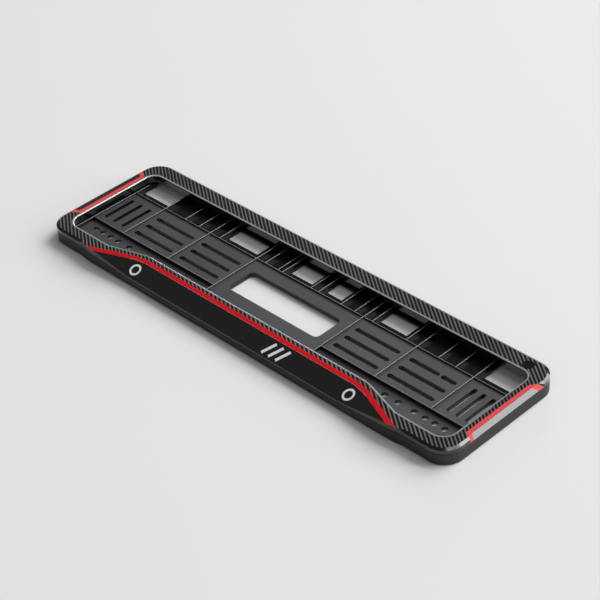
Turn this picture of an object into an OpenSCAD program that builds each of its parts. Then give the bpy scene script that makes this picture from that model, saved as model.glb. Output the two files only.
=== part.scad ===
// Number plate holder: a ribbed base tray that is screwed to the car, and a
// front frame that clips over the plate and the tray.
// The origin is the centre of the footprint, on the surface that it lies on.
// +X runs along the length, -Y is the long side with the gloss panel, +Z is up.

/* [Outline] */
// Overall length
holder_l = 532; // [526:1:545]
// Overall width
holder_w = 150; // [148:1:156]
// Height of the frame's flat face
holder_h = 18; // [17.5:0.5:20]
// Radius of the four outer corners
corner_r = 20.5; // [16:0.5:24]
// How far the middle of the front edge stands out
bulge = 1.8; // [0.5:0.1:3]
// Distance from the holder's ends to the foot of the bulge
bulge_end = 53; // [48:1:54]
// Length of the bulge's slopes
bulge_run = 15; // [12:1:20]
// Width of the chamfer round the face
edge_w = 2.6; // [1.5:0.1:3]
// Drop of the chamfer round the face
edge_drop = 1.5; // [1:0.1:2]

/* [Opening] */
// Width of the face at the two ends
end_band = 14.6; // [14:0.1:17]
// Width of the face along the back
back_band = 19.4; // [18:0.1:21]
// Width of the face along the front, near its two ends
front_band = 14.8; // [13.2:0.1:17]
// Width of face and panel in the middle of the front
front_band_mid = 30.3; // [29:0.1:32]
// Distance from the holder's ends to the foot of the raised middle
rise_end = 74; // [70:1:80]
// Length of the slopes of the raised middle
rise_run = 45; // [40:1:50]
// Offset of the raised middle and of the panel towards +X
rise_shift = 3; // [0:0.5:4]
// Radius of the opening's back corners
open_r_back = 11; // [8:0.5:14]
// Radius of the opening's front corners
open_r_front = 14; // [10:0.5:18]
// Length of the short facet in each bend of the front edge
open_facet = 8; // [4:1:12]
// Radius of the rounded inner rim
rim_r = 1.5; // [1:0.1:1.8]

/* [Frame shell] */
// Thickness of the face
face_t = 2; // [1.5:0.1:2.5]
// Thickness of the outer wall
outer_t = 2; // [1.6:0.1:2.2]
// Thickness of the wall round the opening
inner_t = 1.8; // [1.4:0.1:2.2]
// Height of the lower end of the wall round the opening
inner_low = 10.4; // [10:0.1:12]
// Height of the frame's lower edge at the ends and the back
split_end = 12.4; // [12:0.1:13]
// Height of the frame's lower edge in the middle of the front
split_mid = 8.7; // [8.4:0.1:9]
// Distance from the holder's ends to the tops of that edge's slopes
split_out = 60; // [56:1:66]
// Length of these slopes
split_run = 66; // [60:1:76]
// Height of the groove between frame and tray
groove_h = 1.2; // [0.8:0.1:1.5]
// Depth of the groove between frame and tray
groove_d = 1; // [0.6:0.1:1.2]

/* [Front panel and stripes] */
// Width of the gloss panel in the middle
panel_w = 19; // [18:0.5:20]
// Distance from the holder's ends to the first bend of the panel's upper edge
panel_end = 126; // [124:1:132]
// Length of the short facet in each bend
bend_len = 14; // [10:1:18]
// Angle of each of the two steps of a bend
bend_a = 10.7; // [9:0.1:12]
// Fall of the panel for each millimetre outward
panel_slope = 0.39; // [0.35:0.01:0.4]
// Thickness of the gloss panel
panel_t = 0.8; // [0.5:0.1:1]
// Thickness of the face behind the panel
panel_back_t = 1.6; // [1.2:0.1:2]
// Width of the red stripe along the front
front_stripe_w = 5.4; // [4:0.1:6]
// Thickness of the stripes and the side films
film_t = 0.4; // [0.3:0.1:0.6]
// Width of the red stripe on each end
side_stripe_w = 4.2; // [3:0.1:5]
// Thickness of the printed marks
mark_t = 0.15; // [0.1:0.05:0.3]
// Outer radius of the ring marks
ring_r = 6; // [4:0.5:7]
// Width of the ring marks' line
ring_w = 2; // [1:0.1:2.5]
// Distance of the ring marks past the panel's first bend
ring_out = 3; // [-6:0.5:5]
// Distance of the marks' line from the front edge
mark_up = 9; // [7:0.5:11]
// Length of the bar marks
bar_l = 15; // [10:1:18]
// Width of the bar marks
bar_w = 3; // [2:0.1:4]
// Lean of the bar marks
bar_lean = 30; // [0:1:45]
// Distance between the bar marks
bar_step = 9; // [6:0.5:12]
// Middle of the row of bar marks
bar_x = 55; // [-60:1:60]
// Radius of the round sticker
sticker_r = 5.9; // [4:0.1:7]
// Distance of the round sticker from the holder's right end
sticker_in = 25.8; // [24:0.1:36]
// Distance of the round sticker from the back edge
sticker_back = 11.4; // [11:0.1:12.5]
// Drop of the sloping panel at the right end
end_drop = 4.9; // [3:0.1:5]

/* [Tray] */
// Height of the floor's underside
floor_low = 1.5; // [1:0.1:2]
// Thickness of the floor
floor_t = 2; // [1.6:0.1:2.4]
// Thickness of the skirt
skirt_t = 2.4; // [2:0.1:3]
// Width of the chamfer along the skirt's lower edge
foot_c = 1; // [0.5:0.1:1.4]
// Height of the rib tops, on which the plate lies
rib_top = 7.5; // [7:0.1:8]
// Thickness of the ribs
rib_t = 1.4; // [1:0.1:2]
// Height of the raised fields' top, in which the slots are
field_top = 5.8; // [5.6:0.1:6]
// Thickness of the collars round the slots, under the fields
collar_t = 1.4; // [1:0.1:1.6]
// Line of the back long rib
rib_back = 29.7; // [28:0.1:31]
// Line of the front long ribs
rib_front = -26.6; // [-28:0.1:-25.6]
// How far the middle field reaches past that line
centre_out = 13.4; // [10:0.1:14]
// Distance of the end ribs from the holder's ends
rib_in = 14; // [12:0.1:14.5]
// How far the end ribs run past the opening's back edge
rib_past = 1.7; // [0:0.1:4]
// Distance of the outer cross ribs from the holder's ends
end_bay = 59.7; // [59:0.1:61]
// Distance from the outer to the middle cross ribs
outer_bay = 67.2; // [66:0.1:68]
// Distance from the middle to the inner cross ribs
inner_bay = 67.3; // [66:0.1:68]

/* [Openings of the tray] */
// Width of the screw slots that run along the holder
slot_w = 5; // [4:0.1:5.4]
// Length of these slots, end to end
slot_l = 55; // [50:0.5:56]
// Middle row of these slots
slot_y = -1.2; // [-2:0.1:1]
// Distance between the rows
slot_pitch = 14.5; // [13:0.1:15]
// Length of the web that splits one slot
slot_web = 2.4; // [2:0.1:4]
// Length of the long part of the split slot
slot_split = 35.5; // [30:0.5:40]
// Width of the slots that run across the holder
cross_slot_w = 4.5; // [4:0.1:5]
// Length of these slots, end to end
cross_slot_l = 39; // [34:0.5:42]
// Middle line of these slots
cross_slot_y = 0.3; // [-0.5:0.1:2]
// Diameter of the round holes in the front row
hole_d = 6.5; // [5:0.1:6.8]
// Distance of the round holes' line from the front ribs
hole_out = 9.4; // [8:0.1:11]
// Distance of the centre window from the inner cross ribs
window_side = 11.8; // [9:0.1:15]
// Front edge of the centre window
window_front = -20.3; // [-22:0.1:-18]
// Back edge of the centre window
window_back = 13.8; // [12:0.1:16]
// Radius of the centre window's corners
window_r = 5; // [3:0.5:8]
// Distance of the back row's windows from the back rib
row_gap = 8.1; // [6:0.1:9]
// Distance of the inner windows of that row from the back edge
row_in = 19; // [18:0.1:20]
// Distance of the two end windows from the back edge
end_row_in = 6; // [5:0.5:9]
// Distance of the end windows from the outer cross ribs
end_row_gap = 3.7; // [2:0.1:6]
// Distance of the end windows from the holder's ends
end_row_out = 5; // [4.5:0.5:8]

/* [Clips] */
// Width of a clip
clip_w = 8; // [6:0.5:10]
// Thickness of a clip
clip_t = 1.8; // [1.4:0.1:2]
// How far a clip's barb stands out
barb = 1; // [0.6:0.1:1.2]
// Height of a clip's barb
barb_h = 1; // [0.8:0.1:1.2]
// Free space round a clip in its slot
clip_gap = 0.5; // [0.3:0.1:0.8]
// Free space between barb and floor
catch_gap = 0.1; // [0.05:0.05:0.2]
// Distance of the back clips from the back edge
clip_in = 11; // [9:0.5:12.5]

/* [Hidden] */
// Number of sides for round shapes
$fn = 48;
// Half sizes of the outline
hx = holder_l / 2;
hy = holder_w / 2;
// Front edge at the two ends
front_end = bulge - hy;
// Far enough to pass through any wall, and how far a cut runs past a face
far = 40;
cut = 1;
// Ends of the bulge's slopes
bulge_x1 = hx - bulge_end;
bulge_x0 = bulge_x1 - bulge_run;
// Edges of the opening
open_x = hx - end_band;
open_back = hy - back_band;
open_front_end = front_end + front_band;
open_front_mid = front_band_mid - hy;
// Ends of the slopes of the raised middle and of the frame's lower edge
open_kink_out = hx - rise_end;
open_kink_in = open_kink_out - rise_run;
split_x1 = hx - split_out;
split_x0 = split_x1 - split_run;
// Places on the front panel and of the sticker
panel_y = panel_w - hy;
panel_x = hx - panel_end;
ring_x = panel_x + ring_out;
mark_y = mark_up - hy;
sticker_x = hx - sticker_in;
sticker_y = hy - sticker_back;
// Ribs of the tray
rib_end = hx - rib_in;
rib_end_back = open_back + rib_past;
col_3 = hx - end_bay;
col_2 = col_3 - outer_bay;
col_1 = col_2 - inner_bay;
centre_front = rib_front - centre_out;
// Openings of the tray
window_x = col_1 - window_side;
hole_y = rib_front - hole_out;
row_front = rib_back + row_gap;
row_back = hy - row_in;
row_end_back = hy - end_row_in;
row_end_in = col_3 + end_row_gap;
row_end_out = hx - end_row_out;
// Top of the floor
floor_top = floor_low + floor_t;
// Angle of the bulge's slopes
bulge_a = atan(bulge / (bulge_x1 - bulge_x0));
// How far the rim of the opening's ends runs into the raised middle
rise_in = 12;
// Part of the rim's quarter round that is drawn, and steps of its radius at the bends
rim_part = 0.75;
rim_step = 0.1;
// Width of the thicker corner behind the right end's sloping panel
end_back_t = 2;
// Free space along the panel's upper edge, and more of it at the bends
film_gap = 0.1;
bend_gap = 0.2;
// Where the chamfer round the face begins to run out, its length and its last offset
fade_gap = 5;
fade_x = bulge_x1 + fade_gap;
fade_l = 12;
fade_out = 0.4;
// Height of the stops for the plate's long edges
stop_top = 9.6;
// Places of the stops' faces
stop_front = 23 - hy;
stop_back = hy - 13;
// Length of the front stops
stop_l = 6;
// Front edge of the opening's raised middle, from left to right
rise = unit([open_kink_out - open_kink_in, open_front_mid - open_front_end]);
rise_foot = [open_kink_out, open_front_end] + far * [rise[0], -rise[1]];
rise_top = [open_kink_in, open_front_mid] + open_facet / 2 * [rise[0], -rise[1]];
rise_line = [
    [rise_shift - rise_foot[0], rise_foot[1]], [rise_shift - rise_top[0], rise_top[1]],
    [rise_shift + open_facet / 2 - open_kink_in, open_front_mid],
    [rise_shift + open_kink_in - open_facet / 2, open_front_mid],
    rise_top + [rise_shift, 0], rise_foot + [rise_shift, 0]
];
// Upper edge of the gloss panel, from the middle to the right end
bend_0 = [panel_x, panel_y];
bend_1 = bend_0 + bend_len * [cos(bend_a), -sin(bend_a)];
bend_2 = bend_1 + 2 * far * [cos(2 * bend_a), -sin(2 * bend_a)];
panel_line = [
    [rise_shift - bend_2[0], bend_2[1]], [rise_shift - bend_1[0], bend_1[1]],
    [rise_shift - bend_0[0], bend_0[1]],
    bend_0 + [rise_shift, 0], bend_1 + [rise_shift, 0], bend_2 + [rise_shift, 0]
];
// Middle lines of the end stripes: distance from the centre, front and back end of the
// straight part, and slopes of the hooks in front and at the back; both are drawn on the right
left_stripe = [hx - 10.1, 35.7 - hy, hy - 31.5, 0.6, 0.6];
right_stripe = [hx - 5.7, 36.6 - hy, hy - 33.7, 0.4, 1.5];
// Distance from the centre at which the hooked ends would stop
hook_x = hx + 6;
// Where the face of each end begins to fall, and its fall for each millimetre outward
knee_out = 0.3;
left_fall = [hx - edge_w, edge_drop / edge_w];
right_knee = right_stripe[0] + side_stripe_w / 2 + knee_out;
right_fall = [right_knee, end_drop / (hx - right_knee)];
function hook_line(e) = [
    [hook_x, e[1] - e[3] * (hook_x - e[0])], [e[0], e[1]],
    [e[0], e[2]], [hook_x, e[2] + e[4] * (hook_x - e[0])]
];
// Ribs of the back row between the cross ribs: outward from the middle cross ribs,
// and in the middle bay as shares of its half length
back_ribs = concat(
    [for (d = [37.2, 16.9, -13.9]) -col_2 - d],
    [for (k = [-0.836, -0.589, -0.504, 0.039, 0.175, 0.588, 0.833]) k * col_1],
    [for (d = [-56.4, -14.1, 25.5, 45.8]) col_2 + d]
);
// Ends of the inner windows of the back row, given in the same way
back_windows = [
    [15.6 - col_2, 59.6 - col_2], [-0.474 * col_1, -0.049 * col_1],
    [0.202 * col_1, 0.494 * col_1], [col_2 - 55.1, col_2 - 20.6]
];
// Slots that run across the holder, left and right, by their distance from its ends
cross_slots = concat([for (d = [22.2, 35.2, 48.5]) d - hx], [for (d = [47.5, 37, 26.3]) hx - d]);
// Round holes of the front row, left and right
holes = concat(
    [for (d = [39.2, 50.7, 62.8, 79.5]) d - hx], [for (d = [105.5, 89.5, 70.3, 57.6, 46.4, 35]) hx - d]
);
// Oblong hole at the left end of that row
oblong_x = 29 - hx;
oblong_l = 8;
// Distance of the clips along the long sides from the centre, and their lines
clip_x = [col_1 - 17.3, col_3 - 35.9];
clip_back = hy - clip_in;
clip_front = [panel_y + 2, open_front_end - 3.6];
// Distance of the end clips from the centre, beside the ends of the plate
clip_end = hx - skirt_t - 3 * clip_gap - clip_t / 2;
// Middle of the two inner and the two outer fields of slots
field_1 = (col_1 + col_2) / 2;
field_2 = (col_2 + col_3) / 2;

// Unit vector, the vector turned a quarter to the left, and its direction in degrees
function unit(v) = v / norm(v);
function left(v) = [-v[1], v[0]];
function heading(v) = atan2(v[1], v[0]);
// Point d beyond b on the way from a
function past(a, b, d) = b + d * unit(b - a);
// Point moved sideways where two directions meet
function mitre(p, u1, u2, d) = p + d * (left(u1) + left(u2)) / (1 + left(u1) * left(u2));
// Open line moved to its left by d
function shifted(pts, d) = [
    for (i = [0:len(pts) - 1])
        let (
            u1 = unit(i == 0 ? pts[1] - pts[0] : pts[i] - pts[i - 1]),
            u2 = unit(i == len(pts) - 1 ? pts[i] - pts[i - 1] : pts[i + 1] - pts[i])
        )
        mitre(pts[i], u1, u2, d)
];
// Area between an open line moved by d1 and by d2
function band(pts, d1, d2) = concat(
    shifted(pts, d1), [for (i = [len(pts) - 1:-1:0]) shifted(pts, d2)[i]]
);

// Rectangle from -x to x and y0 to y1, with radius r0 in front and r1 at the back
module rounded_rect(x, y0, y1, r0, r1) {
    polygon([
        [r0 - x, y0], [x - r0, y0], [x, y0 + r0], [x, y1 - r1],
        [x - r1, y1], [r1 - x, y1], [-x, y1 - r1], [-x, y0 + r0]
    ]);
    for (s = [-1, 1]) {
        translate([s * (x - r0), y0 + r0]) circle(r0);
        translate([s * (x - r1), y1 - r1]) circle(r1);
    }
}

// The child's profile, carried from a to b; its first axis points to the right
module run(a, b) {
    translate([b[0], b[1], 0])
        rotate([90, 0, heading(b - a) - 90])
            linear_extrude(norm(b - a))
                children();
}

// The child's profile, carried a quarter round the centre c at the radius r
module turn(c, r, from) {
    translate([c[0], c[1], 0])
        rotate([0, 0, from])
            rotate_extrude(angle = 90)
                translate([r, 0]) children();
}

// The child's profile round such a rectangle, apart from the straight front
module round_rect(x, y0, y1, r0, r1) {
    run([x, y0 + r0], [x, y1 - r1]) children();
    turn([x - r1, y1 - r1], r1, 0) children();
    run([x - r1, y1], [r1 - x, y1]) children();
    turn([r1 - x, y1 - r1], r1, 90) children();
    run([-x, y1 - r1], [-x, y0 + r0]) children();
    turn([r0 - x, y0 + r0], r0, 180) children();
    turn([x - r0, y0 + r0], r0, 270) children();
}

// Upright block over the holder's outline, moved inward by d
module outline_block(d, low, high) {
    translate([0, 0, low])
        linear_extrude(high - low) {
            rounded_rect(hx - d, front_end + d, hy - d, corner_r - d, corner_r - d);
            polygon([
                [-bulge_x1, 0], [-bulge_x1, front_end + d / cos(bulge_a)],
                [d * tan(bulge_a / 2) - bulge_x0, d - hy], [bulge_x0 - d * tan(bulge_a / 2), d - hy],
                [bulge_x1, front_end + d / cos(bulge_a)], [bulge_x1, 0]
            ]);
        }
}

// Profiles cut away by the chamfers round the face and along the skirt's lower edge
module face_profile() {
    translate([0, holder_h])
        polygon([[-2 * edge_w, edge_drop], [edge_w, -2 * edge_drop], [edge_w, edge_drop]]);
}

module foot_profile() {
    polygon([[-2 * foot_c, -foot_c], [foot_c, -foot_c], [foot_c, 2 * foot_c]]);
}

// Space cut away round the face; the chamfer runs out before the front stripe
module face_chamfer() {
    round_rect(hx, front_end, hy, corner_r, corner_r) face_profile();
    fade_from = [fade_x - fade_l, -hy - fade_out];
    fade_to = [fade_x, front_end + edge_w];
    for (s = [0, 1]) {
        mirror([s, 0, 0])
            intersection() {
                run([bulge_x0, front_end], [hx - corner_r, front_end]) face_profile();
                above_facet(
                    fade_from, fade_to, edge_drop / edge_w / cos(heading(fade_to - fade_from))
                );
            }
    }
}

// Space cut away along the skirt's lower edge
module foot_chamfer() {
    round_rect(hx, front_end, hy, corner_r, corner_r) foot_profile();
    run([corner_r - hx, front_end], [-bulge_x1 - foot_c, front_end]) foot_profile();
    run([bulge_x1 + foot_c, front_end], [hx - corner_r, front_end]) foot_profile();
    run([-bulge_x1, -hy], [bulge_x1, -hy]) foot_profile();
}

// Opening through the frame without its raised middle, with its rounded rim
module open_rect() {
    linear_extrude(holder_h + cut)
        rounded_rect(open_x, open_front_end, open_back, open_r_front, open_r_back);
    round_rect(open_x, open_front_end, open_back, open_r_front, open_r_back) rim_cut();
    run([open_r_front - open_x, open_front_end], [rise_in - open_kink_out, open_front_end]) rim_cut();
    run([open_kink_out - rise_in, open_front_end], [open_x - open_r_front, open_front_end]) rim_cut();
}

// Profile cut away at the rim; its curve ends just short of the face
module rim_cut() {
    difference() {
        translate([-rim_r, holder_h - rim_r]) square([rim_r * (1 + rim_part), rim_r + cut]);
        translate([rim_r, holder_h - rim_r]) circle(rim_r);
    }
}

// Body behind one edge of the raised middle, with its rounded rim
module rise_side(i) {
    a = rise_line[i];
    b = rise_line[i + 1];
    r = rim_r - rim_step * (1 + i % 2);
    run(past(b, a, holder_l), past(a, b, holder_l)) {
        square([holder_l, holder_h - r]);
        translate([r, holder_h - r]) circle(r);
        translate([r * rim_part, 0]) square([holder_l - r, holder_h + 2 * cut]);
    }
}

// Opening through the frame
module opening_cut() {
    difference() {
        open_rect();
        intersection() {
            rise_side(0);
            rise_side(1);
            rise_side(2);
            rise_side(3);
            rise_side(4);
        }
    }
}

// Area of the opening, grown by the thickness of the wall round it
module wall_area() {
    difference() {
        rounded_rect(
            open_x + inner_t, open_front_end - inner_t, open_back + inner_t,
            open_r_front + inner_t, open_r_back + inner_t
        );
        polygon(band(rise_line, -inner_t, -far));
    }
}

// Space below a line that dips in the middle of the front wall
module below_split(end_z, mid_z) {
    translate([-hx - far, panel_y, -far]) cube([2 * hx + 2 * far, holder_w, far + end_z]);
    translate([0, panel_y, 0])
        rotate([90, 0, 0])
            linear_extrude(far)
                polygon([
                    [-hx - far, -far], [hx + far, -far], [hx + far, end_z], [split_x1, end_z],
                    [split_x0, mid_z], [-split_x0, mid_z], [-split_x1, end_z], [-hx - far, end_z]
                ]);
}

// Space above the plane that falls by slope for each millimetre right of a to b
module above_facet(a, b, slope) {
    translate([b[0], b[1], holder_h])
        rotate([90, 0, heading(b - a) - 90])
            linear_extrude(2 * holder_l, center = true)
                polygon([
                    [-far, far * slope], [holder_l, -holder_l * slope],
                    [holder_l, 2 * far], [-far, 2 * far]
                ]);
}

// Space above the whole gloss panel, raised by up
module above_panel(up) {
    translate([0, 0, up])
        intersection() {
            translate([0, panel_y, holder_h])
                rotate([90, 0, 90])
                    linear_extrude(2 * hx, center = true)
                        polygon([
                            [far, far * panel_slope], [-far, -far * panel_slope],
                            [-far, 2 * far], [far, 2 * far]
                        ]);
            above_facet(panel_line[0], panel_line[1], panel_slope);
            above_facet(panel_line[1], panel_line[2], panel_slope);
            above_facet(panel_line[3], panel_line[4], panel_slope);
            above_facet(panel_line[4], panel_line[5], panel_slope);
        }
}

// Upright block over the area in front of the panel's upper edge
module panel_area() {
    linear_extrude(holder_h + far)
        polygon([for (p = shifted(panel_line, -film_gap)) p - [sign(p[0]) * bend_gap, 0]]);
}

// Space above the face of an end and its slope, lowered by t; drawn on the right
module above_end(t, fall) {
    rotate([90, 0, 0])
        linear_extrude(2 * (hy - corner_r), center = true)
            polygon([
                [open_x, holder_h - t], [fall[0], holder_h - t],
                [hx + edge_w, holder_h - fall[1] * (hx + edge_w - fall[0]) - t],
                [hx + edge_w, holder_h + cut], [open_x, holder_h + cut]
            ]);
}

// Bed of a film on an end over an area, open above
module end_bed(area, fall) {
    intersection() {
        linear_extrude(holder_h + cut) polygon(area);
        above_end(film_t, fall);
    }
}

// The film in that bed, flat and then down the slope
module end_film(area, fall) {
    difference() {
        intersection() {
            end_bed(area, fall);
            translate([0, -hy, 0]) cube([hx, 2 * hy, holder_h + cut]);
        }
        above_end(0, fall);
    }
}

// Areas of the stripe and the panel of one end
function stripe_area(e) = band(hook_line(e), side_stripe_w / 2, -side_stripe_w / 2);
function end_area(e) = shifted(hook_line(e), -side_stripe_w / 2);

// Slot with round ends through the floor; along_x sets its direction
module slot(x, y, l, w, along_x) {
    translate([x, y, 0])
        rotate([0, 0, along_x ? 0 : 90]) {
            translate([-(l - w) / 2, -w / 2, 0]) cube([l - w, w, floor_top + far]);
            for (s = [-1, 1]) {
                translate([s * (l - w) / 2, 0, 0]) cylinder(h = floor_top + far, d = w);
            }
        }
}

// Rib across the tray, from y0 to y1
module rib_y(x, y0, y1) {
    translate([x - rib_t / 2, y0, floor_low]) cube([rib_t, y1 - y0, rib_top - rib_t / 2 - floor_low]);
    translate([x, y0, rib_top - rib_t / 2]) rotate([-90, 0, 0]) cylinder(h = y1 - y0, d = rib_t);
}

// Rib along the tray, from x0 to x1
module rib_x(y, x0, x1) {
    translate([x0, y - rib_t / 2, floor_low]) cube([x1 - x0, rib_t, rib_top - rib_t / 2 - floor_low]);
    translate([x0, y, rib_top - rib_t / 2]) rotate([0, 90, 0]) cylinder(h = x1 - x0, d = rib_t);
}

// Screw slots in the raised fields: x, y, length, width and whether they run along the holder
split_from = field_2 - slot_l / 2;
slots = concat(
    [
        for (s = [-1, 1], x = [field_1, field_2], k = [-1, 0, 1])
            if (s < 0 || x < field_2 || k < 1)
                [s * x, slot_y + k * slot_pitch, slot_l, slot_w, true]
    ],
    [
        [split_from + slot_split / 2, slot_y + slot_pitch, slot_split, slot_w, true],
        [
            split_from + (slot_l + slot_split + slot_web) / 2, slot_y + slot_pitch,
            slot_l - slot_split - slot_web, slot_w, true
        ]
    ],
    [for (x = cross_slots) [x, cross_slot_y, cross_slot_l, cross_slot_w, false]]
);

// Hollow under the raised fields, between their walls and the collars of the openings
module field_hollow() {
    linear_extrude(field_top - floor_t)
        difference() {
            for (f = [[-rib_end, -col_3], [-col_3, -col_2], [-col_2, -col_1], [-col_1, col_1],
                      [col_1, col_2], [col_2, col_3], [col_3, rib_end]]) {
                front = f[0] < 0 && f[1] > 0 ? centre_front : rib_front;
                translate([f[0] + rib_t, front + rib_t])
                    square([f[1] - f[0] - 2 * rib_t, rib_back - front - 2 * rib_t]);
            }
            for (p = slots) {
                translate([p[0], p[1]])
                    rotate([0, 0, p[4] ? 0 : 90])
                        square([p[2] + 2 * collar_t, p[3] + 2 * collar_t], center = true);
            }
            translate([-window_x - collar_t, window_front - collar_t])
                square([2 * (window_x + collar_t), window_back - window_front + 2 * collar_t]);
        }
}

// Places of the clips: x, y and the way that the barb points
clips = concat(
    [for (s = [-1, 1], x = clip_x) [s * x, clip_back, 0]],
    [for (s = [-1, 1], k = [0, 1]) [s * clip_x[k], clip_front[k], 180]],
    [[clip_end, 0, -90], [-clip_end, 0, 90]]
);

// One clip, with its barb towards +Y under the floor
module clip() {
    barb_top = floor_low - catch_gap;
    translate([-clip_w / 2, -clip_t / 2, barb_top - barb_h])
        cube([clip_w, clip_t, holder_h - face_t - barb_top + barb_h]);
    translate([-clip_w / 2, clip_t / 2, barb_top - barb_h])
        rotate([90, 0, 90])
            linear_extrude(clip_w)
                polygon([[-clip_t / 2, 0], [0, 0], [barb, barb_h / 2], [barb, barb_h], [-clip_t / 2, barb_h]]);
}

// Slot of one clip in the floor, narrow enough for the barb to catch
module clip_slot() {
    translate([-clip_w / 2 - clip_gap, -clip_t / 2 - barb, 0])
        cube([clip_w + 2 * clip_gap, clip_t + barb + clip_gap, floor_top + clip_gap]);
}

// Window at the right end of the back row, around the free end of the rib
module end_window() {
    intersection() {
        difference() {
            translate([row_end_in, row_front, 0])
                cube([row_end_out - row_end_in, row_end_back - row_front, floor_top + cut]);
            translate([rib_end - rib_t / 2, 0, -cut]) cube([rib_t, rib_end_back, holder_h]);
        }
        outline_block(2 * skirt_t, -cut, holder_h);
    }
}

module base_tray() {
    color([0.19, 0.19, 0.2]) {
        difference() {
            union() {
                // Skirt, and the lip that the frame's wall stands on
                intersection() {
                    difference() {
                        outline_block(0, 0, split_end);
                        outline_block(skirt_t, -cut, split_end + cut);
                    }
                    below_split(split_end - groove_h, split_mid - groove_h);
                }
                intersection() {
                    difference() {
                        outline_block(groove_d, floor_low, split_end);
                        outline_block(skirt_t, 0, split_end + cut);
                    }
                    below_split(split_end, split_mid);
                }
                // Floor and ribs
                outline_block(groove_d, floor_low, floor_top);
                rib_x(rib_back, -rib_end, rib_end);
                rib_x(rib_front, -rib_end, -col_1);
                rib_x(rib_front, col_1, rib_end);
                // Raised fields; the middle one reaches further to the front
                translate([-rib_end, rib_front, floor_low])
                    cube([2 * rib_end, rib_back - rib_front, field_top - floor_low]);
                translate([-col_1, centre_front, floor_low])
                    cube([2 * col_1, rib_t - centre_front + rib_front, field_top - floor_low]);
                for (s = [-1, 1]) {
                    intersection() {
                        rib_y(s * rib_end, -hy, rib_end_back);
                        outline_block(skirt_t / 2, 0, holder_h);
                    }
                    for (x = [col_1, col_2, col_3]) {
                        rib_y(s * x, x > col_1 ? rib_front : centre_front, hy - skirt_t / 2);
                        // Stops for the back edge of the plate
                        translate([s * x - rib_t / 2, stop_back, floor_low])
                            cube([rib_t, hy - skirt_t / 2 - stop_back, stop_top - floor_low]);
                    }
                    // Stops for the front edge of the plate
                    for (x = [col_1, col_2]) {
                        translate([s * x - rib_t / 2, stop_front - stop_l, floor_low])
                            cube([rib_t, stop_l, stop_top - floor_low]);
                    }
                }
                for (x = back_ribs) {
                    rib_y(x, rib_back, hy - skirt_t / 2);
                }
            }
            foot_chamfer();
            // Hollows under the fields, screw slots and round holes
            field_hollow();
            for (p = slots) {
                slot(p[0], p[1], p[2], p[3], p[4]);
            }
            slot(oblong_x, hole_y, oblong_l, hole_d - 2, true);
            for (x = holes) {
                translate([x, hole_y, 0]) cylinder(h = far, d = hole_d);
            }
            // Centre window, the windows of the back row and the clip slots
            linear_extrude(far) rounded_rect(window_x, window_front, window_back, window_r, window_r);
            for (w = back_windows) {
                translate([w[0], row_front, 0]) cube([w[1] - w[0], row_back - row_front, floor_top + cut]);
            }
            for (s = [0, 1]) {
                mirror([s, 0, 0]) end_window();
            }
            for (c = clips) {
                translate([c[0], c[1], 0]) rotate([0, 0, c[2]]) clip_slot();
            }
        }
    }
}

module front_frame() {
    color([0.07, 0.07, 0.08]) {
        difference() {
            union() {
                difference() {
                    outline_block(0, split_mid, holder_h);
                    difference() {
                        outline_block(outer_t, split_mid - cut, holder_h - face_t);
                        above_panel(-panel_t - panel_back_t);
                    }
                }
                translate([0, 0, inner_low])
                    linear_extrude(holder_h - face_t / 2 - inner_low)
                        wall_area();
                // Thicker corner behind the sloping panel of the right end
                translate([hx - outer_t - end_back_t, corner_r - hy, holder_h - end_drop + film_t])
                    cube([
                        end_back_t + outer_t / 2, 2 * (hy - corner_r), end_drop - film_t - face_t / 2
                    ]);
            }
            opening_cut();
            face_chamfer();
            // The outer wall ends at the split line
            difference() {
                below_split(split_end, split_mid);
                outline_block(outer_t, -far, far);
            }
            // Beds of the panel, the stripes, the end films and the sticker
            above_panel(0);
            intersection() {
                panel_area();
                above_panel(-panel_t);
            }
            front_stripe_bed();
            end_bed(stripe_area(right_stripe), right_fall);
            end_bed(end_area(right_stripe), right_fall);
            mirror([1, 0, 0]) {
                end_bed(stripe_area(left_stripe), left_fall);
                end_bed(end_area(left_stripe), left_fall);
            }
            translate([sticker_x, sticker_y, holder_h - film_t]) cylinder(h = film_t + cut, r = sticker_r);
        }
        for (c = clips) {
            translate([c[0], c[1], 0]) rotate([0, 0, c[2]]) clip();
        }
    }
}

module front_stripe_bed() {
    translate([0, 0, holder_h - film_t])
        linear_extrude(film_t + cut)
            polygon(band(panel_line, film_gap, front_stripe_w));
}

module front_panel() {
    color([0.02, 0.02, 0.02]) {
        difference() {
            intersection() {
                panel_area();
                above_panel(-panel_t);
                outline_block(0, 0, holder_h);
            }
            above_panel(0);
        }
    }
}

module stripe_front() {
    color([0.78, 0.08, 0.08]) {
        intersection() {
            front_stripe_bed();
            outline_block(0, 0, holder_h);
        }
    }
}

module stripe_right() {
    color([0.85, 0.2, 0.18]) end_film(stripe_area(right_stripe), right_fall);
}

module stripe_left() {
    color([0.85, 0.2, 0.18]) mirror([1, 0, 0]) end_film(stripe_area(left_stripe), left_fall);
}

module end_panel_right() {
    color([0.03, 0.03, 0.03]) end_film(end_area(right_stripe), right_fall);
}

module end_panel_left() {
    color([0.03, 0.03, 0.03]) mirror([1, 0, 0]) end_film(end_area(left_stripe), left_fall);
}

// Print on the sloping panel over the area of the child
module print_on_panel() {
    color([0.93, 0.93, 0.92]) {
        difference() {
            intersection() {
                linear_extrude(holder_h + cut) children();
                above_panel(0);
            }
            above_panel(mark_t);
        }
    }
}

module ring_mark(x) {
    print_on_panel()
        translate([x, mark_y])
            difference() {
                circle(ring_r);
                circle(ring_r - ring_w);
            }
}

module bar_mark(k) {
    print_on_panel()
        translate([bar_x + k * bar_step, mark_y])
            rotate([0, 0, -bar_lean])
                square([bar_w, bar_l], center = true);
}

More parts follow.
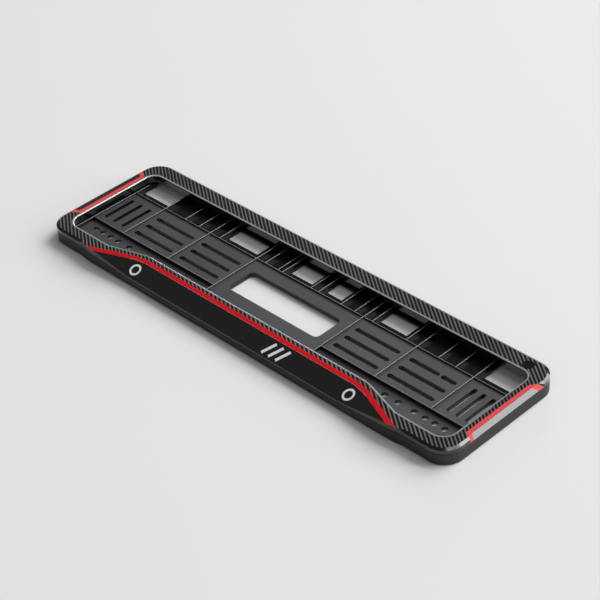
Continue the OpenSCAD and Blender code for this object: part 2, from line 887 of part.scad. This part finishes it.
module round_sticker() {
    color([0.05, 0.05, 0.06])
        translate([sticker_x, sticker_y, holder_h - film_t]) cylinder(h = film_t, r = sticker_r);
}

base_tray();
front_frame();
front_panel();
stripe_front();
end_panel_left();
stripe_left();
end_panel_right();
stripe_right();
ring_mark(rise_shift - ring_x);  // ring_left
bar_mark(-1);  // bar_left
bar_mark(0);  // bar_middle
bar_mark(1);  // bar_right
ring_mark(rise_shift + ring_x);  // ring_right
round_sticker();
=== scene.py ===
import math
import bpy
from mathutils import Matrix, Vector

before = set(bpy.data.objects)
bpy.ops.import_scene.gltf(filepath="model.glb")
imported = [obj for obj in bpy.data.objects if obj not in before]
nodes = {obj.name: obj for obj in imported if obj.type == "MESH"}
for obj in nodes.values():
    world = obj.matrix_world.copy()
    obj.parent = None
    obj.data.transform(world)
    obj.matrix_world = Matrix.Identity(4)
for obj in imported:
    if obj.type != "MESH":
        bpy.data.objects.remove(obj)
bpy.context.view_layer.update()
print("stage: frame loaded")


# lengths are in metres, noise scales in features to a metre, angles in degrees

def newMaterial(name):
    mat = bpy.data.materials.new(name)
    mat.use_nodes = True
    tree = mat.node_tree
    tree.nodes.clear()
    out = tree.nodes.new("ShaderNodeOutputMaterial")
    bsdf = tree.nodes.new("ShaderNodeBsdfPrincipled")
    tree.links.new(bsdf.outputs[0], out.inputs[0])
    return mat, tree, bsdf


# a socket takes a link from another socket, a colour or a plain number
def feed(tree, socket, value):
    if isinstance(value, bpy.types.NodeSocket):
        tree.links.new(value, socket)
    elif isinstance(value, tuple):
        socket.default_value = (*value, 1)
    else:
        socket.default_value = value


# math node on sockets or plain numbers
def calc(tree, op, *values, clamp=False):
    node = tree.nodes.new("ShaderNodeMath")
    node.operation = op
    node.use_clamp = clamp
    for socket, value in zip(node.inputs, values):
        feed(tree, socket, value)
    return node.outputs[0]


# all the factors multiplied, which for masks means where all of them hold
def product(tree, first, *others):
    for other in others:
        first = calc(tree, "MULTIPLY", first, other)
    return first


# smooth step from lo to hi
def ramp(tree, value, lo, hi, outLo=0.0, outHi=1.0):
    node = tree.nodes.new("ShaderNodeMapRange")
    node.interpolation_type = "SMOOTHSTEP"
    feed(tree, node.inputs["Value"], value)
    for name, v in (("From Min", lo), ("From Max", hi), ("To Min", outLo), ("To Max", outHi)):
        feed(tree, node.inputs[name], v)
    return node.outputs["Result"]


# 1 where the value lies above the limit, with a short soft step
def above(tree, value, limit, soft=0.0001):
    return ramp(tree, value, limit - soft, limit + soft)


def mixColor(tree, factor, a, b):
    node = tree.nodes.new("ShaderNodeMix")
    node.data_type = "RGBA"
    feed(tree, node.inputs["Factor"], factor)
    feed(tree, node.inputs[6], a)
    feed(tree, node.inputs[7], b)
    return node.outputs[2]


def mixValue(tree, factor, a, b):
    node = tree.nodes.new("ShaderNodeMix")
    node.data_type = "FLOAT"
    feed(tree, node.inputs["Factor"], factor)
    feed(tree, node.inputs[2], a)
    feed(tree, node.inputs[3], b)
    return node.outputs[0]


def objectCoords(tree):
    return tree.nodes.new("ShaderNodeTexCoord").outputs["Object"]


# the x, y and z of a vector
def split(tree, vector):
    node = tree.nodes.new("ShaderNodeSeparateXYZ")
    feed(tree, node.inputs[0], vector)
    return tuple(node.outputs)


# how far the surface faces up: 1 on a level top, 0 on an upright wall
def facingUp(tree):
    return split(tree, tree.nodes.new("ShaderNodeNewGeometry").outputs["True Normal"])[2]


def noise(tree, coords, scale, detail=2.0, rough=0.5):
    node = tree.nodes.new("ShaderNodeTexNoise")
    feed(tree, node.inputs["Vector"], coords)
    feed(tree, node.inputs["Scale"], scale)
    feed(tree, node.inputs["Detail"], detail)
    feed(tree, node.inputs["Roughness"], rough)
    return node.outputs["Fac"]


def bump(tree, height, distance):
    node = tree.nodes.new("ShaderNodeBump")
    feed(tree, node.inputs["Height"], height)
    feed(tree, node.inputs["Distance"], distance)
    feed(tree, node.inputs["Strength"], 1.0)
    return node.outputs["Normal"]


# constants go straight onto the shader's own sockets
def setAll(bsdf, **values):
    for name, v in values.items():
        bsdf.inputs[name.replace("_", " ")].default_value = v


def dress(node, mat):
    mesh = nodes[node].data
    mesh.materials.clear()
    mesh.materials.append(mat)


traySpec = {
    "field": (0.060, 0.0613, 0.0685),     # satin floors and raised fields
    "gloss": (0.006, 0.006, 0.0065),      # painted shade: dark colour of the walls, and of the floor of the back row
    "edge": (0.14, 0.14, 0.145),          # painted highlight on rib tops
    "skirt": (0.006, 0.0058, 0.0056),     # outer skirt, and the lighter flecks on it
    "skirtLight": (0.018, 0.0175, 0.017),
    "fieldRoughness": 0.42,
    "wallRoughness": 0.22,
    "skirtRoughness": 0.45,
    "level": (0.9, 0.05),                 # facing up that counts as level, and its soft step
    "cloud": (14.0, 3.0),                 # slow change of the satin: scale and detail
    "cloudStep": (0.25, 0.75, 0.8, 1.0),  # from the cloud's values to its strengths
    "fleck": (420.0, 3.0, 0.7),           # scale, detail and roughness of the skirt's fleck
    "fleckStep": (0.35, 0.75),
    "grain": 900.0,                       # moulded grain and its depth
    "grainDepth": 0.00003,
    "ribHeight": 0.0073,                  # rib tops lie above this height
    "ribFacing": (0.3, 0.8),              # and their rounded sides fade out
    "backRib": 0.0297,                    # the back row lies behind this line
    "skirtHalf": (0.2642, 0.0710),        # the skirt lies outside these, along x and y
}


def trayMaterial(s):
    mat, tree, bsdf = newMaterial("trayPlastic")
    co = objectCoords(tree)
    x, y, z = split(tree, co)
    up = facingUp(tree)
    level = above(tree, up, *s["level"])
    # the back row's floor and the walls have a gloss finish, and their dark colour is painted
    # shade; the other floors are satin
    front = calc(tree, "SUBTRACT", 1.0, above(tree, y, s["backRib"]))
    cloud = noise(tree, co, *s["cloud"])
    satin = product(tree, level, front, ramp(tree, cloud, *s["cloudStep"]))
    body = mixColor(tree, satin, s["gloss"], s["field"])
    # painted highlight: rib tops and their rounded sides are lighter
    ribHighlight = product(tree, above(tree, z, s["ribHeight"]), ramp(tree, up, *s["ribFacing"]))
    body = mixColor(tree, ribHighlight, body, s["edge"])
    # outer skirt: outside the wall's inner face, facing sideways
    halfX, halfY = s["skirtHalf"]
    outside = calc(tree, "MAXIMUM", above(tree, calc(tree, "ABSOLUTE", x), halfX),
                   above(tree, calc(tree, "ABSOLUTE", y), halfY))
    skirt = product(tree, outside, calc(tree, "SUBTRACT", 1.0, level))
    fleck = ramp(tree, noise(tree, co, *s["fleck"]), *s["fleckStep"])
    body = mixColor(tree, skirt, body, mixColor(tree, fleck, s["skirt"], s["skirtLight"]))
    feed(tree, bsdf.inputs["Base Color"], body)
    rough = mixValue(tree, skirt, s["wallRoughness"], s["skirtRoughness"])
    rough = mixValue(tree, satin, rough, s["fieldRoughness"])
    feed(tree, bsdf.inputs["Roughness"], rough)
    grain = noise(tree, co, s["grain"])
    feed(tree, bsdf.inputs["Normal"], bump(tree, grain, s["grainDepth"]))
    return mat


frameSpec = {
    "plain": (0.004, 0.004, 0.0045),      # walls and chamfers
    "warp": (0.21, 0.209, 0.208),         # light and dark tows of the twill on the face
    "weft": (0.002, 0.002, 0.0022),
    "rim": (0.60, 0.60, 0.605),           # painted highlight on the rounded rim of the opening
    "highlightBand": (0.22, 0.22, 0.225),          # painted highlight: narrow light line beside the rim
    "faceRoughness": 0.14,
    "wallRoughness": 0.2,
    "coat": 0.6,
    "coatRoughness": 0.06,
    "cell": 0.0012,                       # side of a cell of the twill
    "turn": -36.0,                        # direction of its diagonals
    "bandStep": (-0.1, 0.8),              # soft edge of the diagonal bands
    "acrossStep": (0.0, 0.7, 0.45, 1.0),  # shading across a tow
    "alongStep": (0.0, 0.6, 0.5, 1.0),    # and along it
    "cloud": (25.0, 2.0),                 # slow change over the face: scale and detail
    "cloudStep": (0.3, 0.7, 0.75, 1.1),
    "faceFacing": 0.999,                  # the face is level
    "faceHeight": 0.0179,                 # and lies above this height
    "rimFacing": (0.35, 0.6),             # the rim turns up from the wall
    "rimHeight": 0.0163,
    "rimHalfX": 0.2530,                   # the rim lies within these lines
    "rimBack": 0.0572,
    "rimFront": -0.0604,
    "highlightBandWidth": (0.0002, 0.0008),        # at the back and at the front
    "cornerRadius": (0.0125, 0.0155),     # of the opening, at the back and at the front
    "edgeHalf": (0.0571, 0.0599),         # from the middle to its back and front edge
    "frontStep": 0.0137,                  # how far the front edge steps in
    "stepShift": 0.003,                   # middle of the stretch that steps in
    "stepFrom": 0.147,                    # half of its length
    "stepRun": 0.045,                     # length of the slope at each end of it
}


# 1 on the painted highlight band along the edge of the opening: inside a rounded rectangle,
# and behind the line that the front edge steps along
def highlightBandMask(tree, x, y, s):
    front = calc(tree, "LESS_THAN", y, 0.0)

    # a pair of values, for the back half and for the front half
    def byHalf(pair):
        return calc(tree, "MULTIPLY_ADD", front, pair[1] - pair[0], pair[0])

    width = byHalf(s["highlightBandWidth"])
    radius = byHalf(s["cornerRadius"])
    halfY = byHalf(s["edgeHalf"])
    # how far the point lies past the centre of the corner, along x and along y
    pastX = calc(tree, "SUBTRACT", calc(tree, "ABSOLUTE", x), s["rimHalfX"])
    pastX = calc(tree, "MAXIMUM", calc(tree, "ADD", pastX, radius), 0.0)
    pastY = calc(tree, "SUBTRACT", calc(tree, "ABSOLUTE", y), halfY)
    pastY = calc(tree, "MAXIMUM", calc(tree, "ADD", pastY, radius), 0.0)
    far = calc(tree, "ADD", product(tree, pastX, pastX), product(tree, pastY, pastY))
    far = calc(tree, "SQRT", far)
    inside = calc(tree, "LESS_THAN", calc(tree, "SUBTRACT", far, radius), width)
    # the front edge lies further in over the middle and slopes out to both ends
    away = calc(tree, "ABSOLUTE", calc(tree, "SUBTRACT", x, s["stepShift"]))
    away = calc(tree, "SUBTRACT", away, s["stepFrom"])
    along = calc(tree, "DIVIDE", away, s["stepRun"], clamp=True)
    middle = s["frontStep"] - s["edgeHalf"][1]
    edge = calc(tree, "MULTIPLY_ADD", along, -s["frontStep"], middle)
    behind = calc(tree, "GREATER_THAN", y, calc(tree, "SUBTRACT", edge, width))
    return product(tree, inside, behind)


# strength of the light tows: a 2 by 2 twill with its diagonals along the direction turn
def twill(tree, co, x, y, s):
    a = math.radians(s["turn"] + 45)
    cos, sin = math.cos(a) / s["cell"], math.sin(a) / s["cell"]
    u = calc(tree, "ADD", product(tree, x, cos), product(tree, y, sin))
    v = calc(tree, "ADD", product(tree, x, -sin), product(tree, y, cos))
    cellU = calc(tree, "FLOOR", u)
    cellV = calc(tree, "FLOOR", v)
    # sine of an eighth of a turn times u + v + the cell's numbers + 1: light bands that
    # repeat every four cells, their edges half stepped by the cells
    place = calc(tree, "ADD", calc(tree, "ADD", u, v), calc(tree, "ADD", cellU, cellV))
    place = calc(tree, "ADD", place, 1.0)
    band = calc(tree, "SINE", product(tree, place, math.pi / 4))
    # each tow is lighter along its middle, and between two crossings
    across = product(tree, calc(tree, "SUBTRACT", v, cellV), math.pi)
    along = product(tree, calc(tree, "SUBTRACT", u, cellU), math.pi)
    cloud = noise(tree, co, *s["cloud"])
    return product(
        tree,
        ramp(tree, band, *s["bandStep"]),
        ramp(tree, calc(tree, "SINE", across), *s["acrossStep"]),
        ramp(tree, calc(tree, "SINE", along), *s["alongStep"]),
        ramp(tree, cloud, *s["cloudStep"]))


def frameMaterial(s):
    mat, tree, bsdf = newMaterial("carbonFrame")
    co = objectCoords(tree)
    x, y, z = split(tree, co)
    up = facingUp(tree)
    face = product(tree, calc(tree, "GREATER_THAN", up, s["faceFacing"]),
                   calc(tree, "GREATER_THAN", z, s["faceHeight"]))
    # painted highlight: the rounded rim of the opening is lighter than the walls below it
    rim = product(
        tree,
        calc(tree, "LESS_THAN", calc(tree, "ABSOLUTE", x), s["rimHalfX"]),
        calc(tree, "LESS_THAN", y, s["rimBack"]),
        calc(tree, "GREATER_THAN", y, s["rimFront"]),
        ramp(tree, up, *s["rimFacing"]),
        calc(tree, "GREATER_THAN", z, s["rimHeight"]))
    body = mixColor(tree, rim, s["plain"], s["rim"])
    weave = mixColor(tree, twill(tree, co, x, y, s), s["weft"], s["warp"])
    # painted highlight: a narrow light band on the face along the edge of the opening
    highlightBand = product(tree, face, highlightBandMask(tree, x, y, s))
    weave = mixColor(tree, highlightBand, weave, s["highlightBand"])
    feed(tree, bsdf.inputs["Base Color"], mixColor(tree, face, body, weave))
    rough = mixValue(tree, face, s["wallRoughness"], s["faceRoughness"])
    feed(tree, bsdf.inputs["Roughness"], rough)
    setAll(bsdf, Coat_Weight=s["coat"], Coat_Roughness=s["coatRoughness"])
    return mat


dress("base_tray", trayMaterial(traySpec))
dress("front_frame", frameMaterial(frameSpec))

# smooth panels, films and prints; mottle is how far the colour wanders either way
panelSpec = {
    "name": "glossPanel", "color": (0.011, 0.011, 0.0112),
    "roughness": 0.12, "coat": 0.3, "specular": 0.5, "mottle": 0.15,
}
endPanelSpec = {
    "name": "endPanel", "color": (0.02, 0.02, 0.024),
    "roughness": 0.16, "coat": 0.5, "specular": 0.5, "mottle": 0.15,
}
frontStripeSpec = {
    "name": "redFilm", "color": (0.55, 0.003, 0.008),
    "roughness": 0.13, "coat": 0.0, "specular": 0.5, "mottle": 0.06,
}
# painted highlight: the end stripes are the same red film as the front stripe, made lighter
# and pinker for the sheen on them, with little specular of their own
endStripeSheenSpec = {
    "name": "redFilmEndsSheen", "color": (0.76, 0.075, 0.078),
    "roughness": 0.13, "coat": 0.0, "specular": 0.08, "mottle": 0.06,
}
printSpec = {
    "name": "whitePrint", "color": (0.85, 0.85, 0.84),
    "roughness": 0.4, "coat": 0.0, "specular": 0.5, "mottle": 0.03,
}
stickerSpec = {
    "name": "stickerFilm", "color": (0.004, 0.004, 0.005),
    "roughness": 0.1, "coat": 0.0, "specular": 0.5, "mottle": 0.15,
}
smoothSpec = {
    "cloud": (30.0, 3.0),      # slow change of colour and gloss: scale and detail
    "cloudStep": (0.2, 0.8),
    "dull": (1.12, 0.005),     # dullest roughness: this many times the roughness, plus this
    "coatRoughness": 0.05,
}


def smoothMaterial(s, shared):
    mat, tree, bsdf = newMaterial(s["name"])
    cloud = noise(tree, objectCoords(tree), *shared["cloud"])
    dark = tuple((1 - s["mottle"]) * c for c in s["color"])
    light = tuple((1 + s["mottle"]) * c for c in s["color"])
    feed(tree, bsdf.inputs["Base Color"], mixColor(tree, cloud, dark, light))
    times, plus = shared["dull"]
    low, high = s["roughness"], s["roughness"] * times + plus
    rough = ramp(tree, cloud, *shared["cloudStep"], low, high)
    feed(tree, bsdf.inputs["Roughness"], rough)
    setAll(bsdf, Coat_Weight=s["coat"], Coat_Roughness=shared["coatRoughness"],
           Specular_IOR_Level=s["specular"])
    return mat


for spec, pieces in (
    (panelSpec, ("front_panel",)),
    (endPanelSpec, ("end_panel_left", "end_panel_right")),
    (frontStripeSpec, ("stripe_front",)),
    (endStripeSheenSpec, ("stripe_left", "stripe_right")),
    (printSpec, ("ring_left", "ring_right", "bar_left", "bar_middle", "bar_right")),
    (stickerSpec, ("round_sticker",)),
):
    smooth = smoothMaterial(spec, smoothSpec)
    for piece in pieces:
        dress(piece, smooth)
print("stage: materials")

floorSpec = {
    "size": 9.0, "color": (0.80, 0.80, 0.80), "shade": 0.985, "cloud": (3.0, 2.0),
    "roughness": 0.8, "specular": 0.2,
}


def makeFloor(s):
    h = s["size"] / 2
    mesh = bpy.data.meshes.new("floor")
    mesh.from_pydata([(-h, -h, 0), (h, -h, 0), (h, h, 0), (-h, h, 0)], [], [(0, 1, 2, 3)])
    obj = bpy.data.objects.new("floor", mesh)
    bpy.context.scene.collection.objects.link(obj)
    mat, tree, bsdf = newMaterial("floorPaper")
    cloud = noise(tree, objectCoords(tree), *s["cloud"])
    dark = tuple(s["shade"] * c for c in s["color"])
    feed(tree, bsdf.inputs["Base Color"], mixColor(tree, cloud, dark, s["color"]))
    setAll(bsdf, Roughness=s["roughness"], Specular_IOR_Level=s["specular"])
    mesh.materials.append(mat)


makeFloor(floorSpec)
print("stage: floor")

# area lights: direction from the holder, direction of the long side, distance, width and
# length, and power. The key and side lamps stand far off, so that the floor shows no
# hot spot; top, side and right lie where the rim's edges and the right panel mirror them.
lights = {
    "key": {
        "toward": (0.10, 0.80, 0.58), "along": (0, 0, 1),
        "distance": 14.0, "size": (7.5, 7.5), "power": 960.0,
    },
    "top": {
        "toward": (0.30, 0.24, 0.92), "along": (0.144, 0.666, -0.226),
        "distance": 5.0, "size": (1.0, 3.6), "power": 48.0,
    },
    "side": {
        "toward": (0.46, 0.535, 0.709), "along": (0.839, 0, -0.545),
        "distance": 12.0, "size": (2.16, 14.4), "power": 755.0,
    },
    "right": {
        "toward": (0.785, 0.58, 0.214), "along": (0, 0, 1),
        "distance": 5.0, "size": (1.3, 1.3), "power": 37.0,
    },
    "low": {
        "toward": (-0.597, 0.76, 0.26), "along": (0, 0, 1),
        "distance": 5.0, "size": (1.0, 2.0), "power": 44.0,
    },
    "front": {
        "toward": (0.25, -0.75, 0.70), "along": (0, 0, 1),
        "distance": 6.0, "size": (4.0, 4.0), "power": 30.0,
    },
}
worldSpec = {"color": (1.0, 1.0, 1.0), "strength": 0.12}


# stands a lamp or camera in the scene: its own x, y and z axes, and its place
def standObject(name, data, x, y, z, place):
    obj = bpy.data.objects.new(name, data)
    obj.matrix_world = Matrix((
        (x.x, y.x, z.x, place.x), (x.y, y.y, z.y, place.y),
        (x.z, y.z, z.z, place.z), (0, 0, 0, 1)))
    bpy.context.scene.collection.objects.link(obj)
    return obj


# the lamp shines back along toward; its long side is along, made square to it
def makeLight(name, s):
    data = bpy.data.lights.new(name, "AREA")
    data.shape = "RECTANGLE"
    data.size, data.size_y = s["size"]
    data.energy = s["power"]
    z = Vector(s["toward"]).normalized()
    y = Vector(s["along"])
    y = (y - y.dot(z) * z).normalized()
    standObject(name, data, y.cross(z), y, z, z * s["distance"])


def makeWorld(s):
    world = bpy.data.worlds.new("studio")
    bpy.context.scene.world = world
    world.use_nodes = True
    background = world.node_tree.nodes["Background"]
    background.inputs[0].default_value = (*s["color"], 1)
    background.inputs[1].default_value = s["strength"]


for name, spec in lights.items():
    makeLight(name, spec)
makeWorld(worldSpec)
print("stage: lamps")

cameraSpec = {
    "azimuth": 48.148, "elevation": 36.729, "roll": 4.704,
    "focal": 1830.577, "frameWidth": 600.0,   # both in pixels of the photograph
    "distance": 1.722671, "shiftRight": 0.013016, "shiftUp": 0.005695,
    "sensor": 36.0, "clipEnd": 50.0,
}


# the camera looks along -back; right and up are its own axes, turned by roll
def makeCamera(s):
    a, e, r = (math.radians(s[k]) for k in ("azimuth", "elevation", "roll"))
    back = Vector((math.sin(a) * math.cos(e), -math.cos(a) * math.cos(e), math.sin(e)))
    right = Vector((math.cos(a), math.sin(a), 0))
    up = back.cross(right)
    place = back * s["distance"] + right * s["shiftRight"] + up * s["shiftUp"]
    right, up = (math.cos(r) * right - math.sin(r) * up,
                 math.sin(r) * right + math.cos(r) * up)
    data = bpy.data.cameras.new("camera")
    data.sensor_width = s["sensor"]
    data.lens = s["focal"] * s["sensor"] / s["frameWidth"]
    data.clip_end = s["clipEnd"]
    bpy.context.scene.camera = standObject("camera", data, right, up, back, place)


makeCamera(cameraSpec)
bpy.context.scene.view_settings.view_transform = "Standard"
print("stage: camera")
